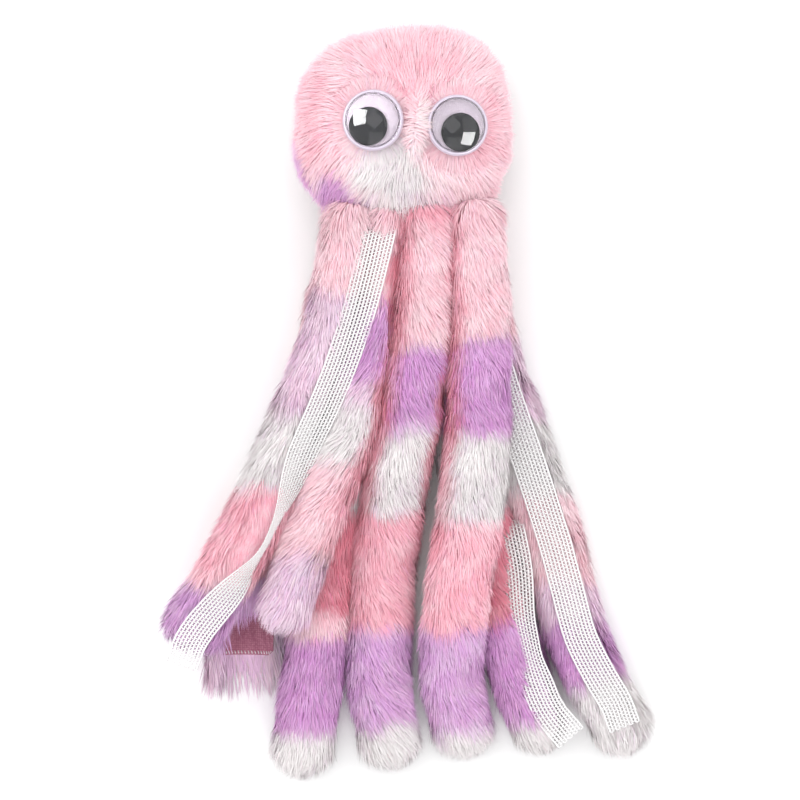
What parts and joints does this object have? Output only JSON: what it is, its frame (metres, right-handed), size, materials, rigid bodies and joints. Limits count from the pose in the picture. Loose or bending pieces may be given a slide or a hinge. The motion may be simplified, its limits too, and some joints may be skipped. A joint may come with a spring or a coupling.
{
  "type": "plush octopus toy",
  "caption": "Long-pile fur octopus lying face up, tie-dyed pink, purple and white, with googly eyes and mesh webbing straps sewn along stuffed arms.",
  "frame": {"origin": "on the resting plane, below the middle of the toy's bounding box, with the toy lying on its back", "axes": "+Y from the arms to the crown of the head, +Z out of the face, +X to the right as seen from above with the head up"},
  "size_m": [0.2902, 0.444, 0.0944],
  "materials": {
    "head_fur": "long-pile faux fur, pale pink with white and violet patches",
    "arm_fur": "long-pile faux fur in bands of pink, violet and white",
    "stuffing": "white polyester fibre filling",
    "lining": "dusty pink knitted backing of the fur",
    "webbing": "white open-mesh woven webbing",
    "eye_plate": "pale lilac-white moulded plastic",
    "eye_dome": "clear moulded plastic",
    "pupil": "black plastic disc"
  },
  "bodies": {
    "root": {"head_fur_front": "head_fur", "head_fur_back": "head_fur", "head_stuffing": "stuffing", "head_base_panel": "lining", "arm_c_fur_upper": "arm_fur", "arm_c_stuffing_upper": "stuffing", "arm_c_strap_upper": "webbing", "arm_d_fur_upper": "arm_fur", "arm_d_stuffing_upper": "stuffing", "arm_d_strap_upper": "webbing", "arm_g_fur_upper": "arm_fur", "arm_g_stuffing_upper": "stuffing", "arm_g_strap_upper": "webbing", "eye_left_back_plate": "eye_plate", "eye_left_dome": "eye_dome", "eye_right_back_plate": "eye_plate", "eye_right_dome": "eye_dome"},
    "arm_a": {"arm_a_fur": "arm_fur", "arm_a_stuffing": "stuffing", "arm_a_strap": "webbing"},
    "arm_b": {"arm_b_fur": "arm_fur", "arm_b_stuffing": "stuffing", "arm_b_strap": "webbing"},
    "arm_c_end": {"arm_c_fur_lower": "arm_fur", "arm_c_stuffing_lower": "stuffing", "arm_c_strap_lower": "webbing"},
    "arm_d_end": {"arm_d_fur_lower": "arm_fur", "arm_d_stuffing_lower": "stuffing", "arm_d_strap_lower": "webbing"},
    "arm_e": {"arm_e_fur": "arm_fur", "arm_e_stuffing": "stuffing", "arm_e_strap": "webbing"},
    "arm_f": {"arm_f_fur": "arm_fur", "arm_f_stuffing": "stuffing", "arm_f_strap": "webbing"},
    "arm_g_end": {"arm_g_fur_lower": "arm_fur", "arm_g_stuffing_lower": "stuffing", "arm_g_strap_lower": "webbing"},
    "arm_h": {"arm_h_fur": "arm_fur", "arm_h_stuffing": "stuffing", "arm_h_strap": "webbing"},
    "pupil_left": {"eye_left_pupil": "pupil"},
    "pupil_right": {"eye_right_pupil": "pupil"}
  },
  "joints": [
    {"name": "arm_a_lift", "type": "hinge", "parent": "root", "child": "arm_a", "pos_m": [-0.03258, 0.11294, 0.077], "axis": [-1, 0, 0], "range_deg": [0, 50]},
    {"name": "arm_e_lift", "type": "hinge", "parent": "root", "child": "arm_e", "pos_m": [0.01102, 0.11294, 0.0736], "axis": [-1, 0, 0], "range_deg": [0, 55]},
    {"name": "arm_f_lift", "type": "hinge", "parent": "root", "child": "arm_f", "pos_m": [0.03862, 0.11294, 0.0742], "axis": [-1, 0, 0], "range_deg": [0, 55]},
    {"name": "arm_b_swing", "type": "hinge", "parent": "root", "child": "arm_b", "pos_m": [-0.04788, 0.11294, 0.024], "axis": [0, 0, -1], "range_deg": [0, 14]},
    {"name": "arm_h_swing", "type": "hinge", "parent": "root", "child": "arm_h", "pos_m": [0.04922, 0.11294, 0.024], "axis": [0, 0, 1], "range_deg": [0, 30]},
    {"name": "arm_c_curl", "type": "hinge", "parent": "root", "child": "arm_c_end", "pos_m": [-0.04015, -0.03338, 0.06014], "axis": [-0.9406, 0.3394, 0], "range_deg": [0, 75]},
    {"name": "arm_d_curl", "type": "hinge", "parent": "root", "child": "arm_d_end", "pos_m": [-0.05569, -0.14941, 0.03096], "axis": [-0.9974, 0.0721, 0], "range_deg": [0, 80]},
    {"name": "arm_g_curl", "type": "hinge", "parent": "root", "child": "arm_g_end", "pos_m": [0.06228, -0.14739, 0.03589], "axis": [-0.9649, -0.2626, 0], "range_deg": [0, 80]},
    {"name": "pupil_left_roll", "type": "hinge", "parent": "root", "child": "pupil_left", "pos_m": [-0.02099, 0.16479, 0.08618], "axis": [-0.1197, 0, 0.9928], "continuous": true},
    {"name": "pupil_right_roll", "type": "hinge", "parent": "root", "child": "pupil_right", "pos_m": [0.02883, 0.16179, 0.08598], "axis": [0.1197, 0, 0.9928], "continuous": true}
  ]
}
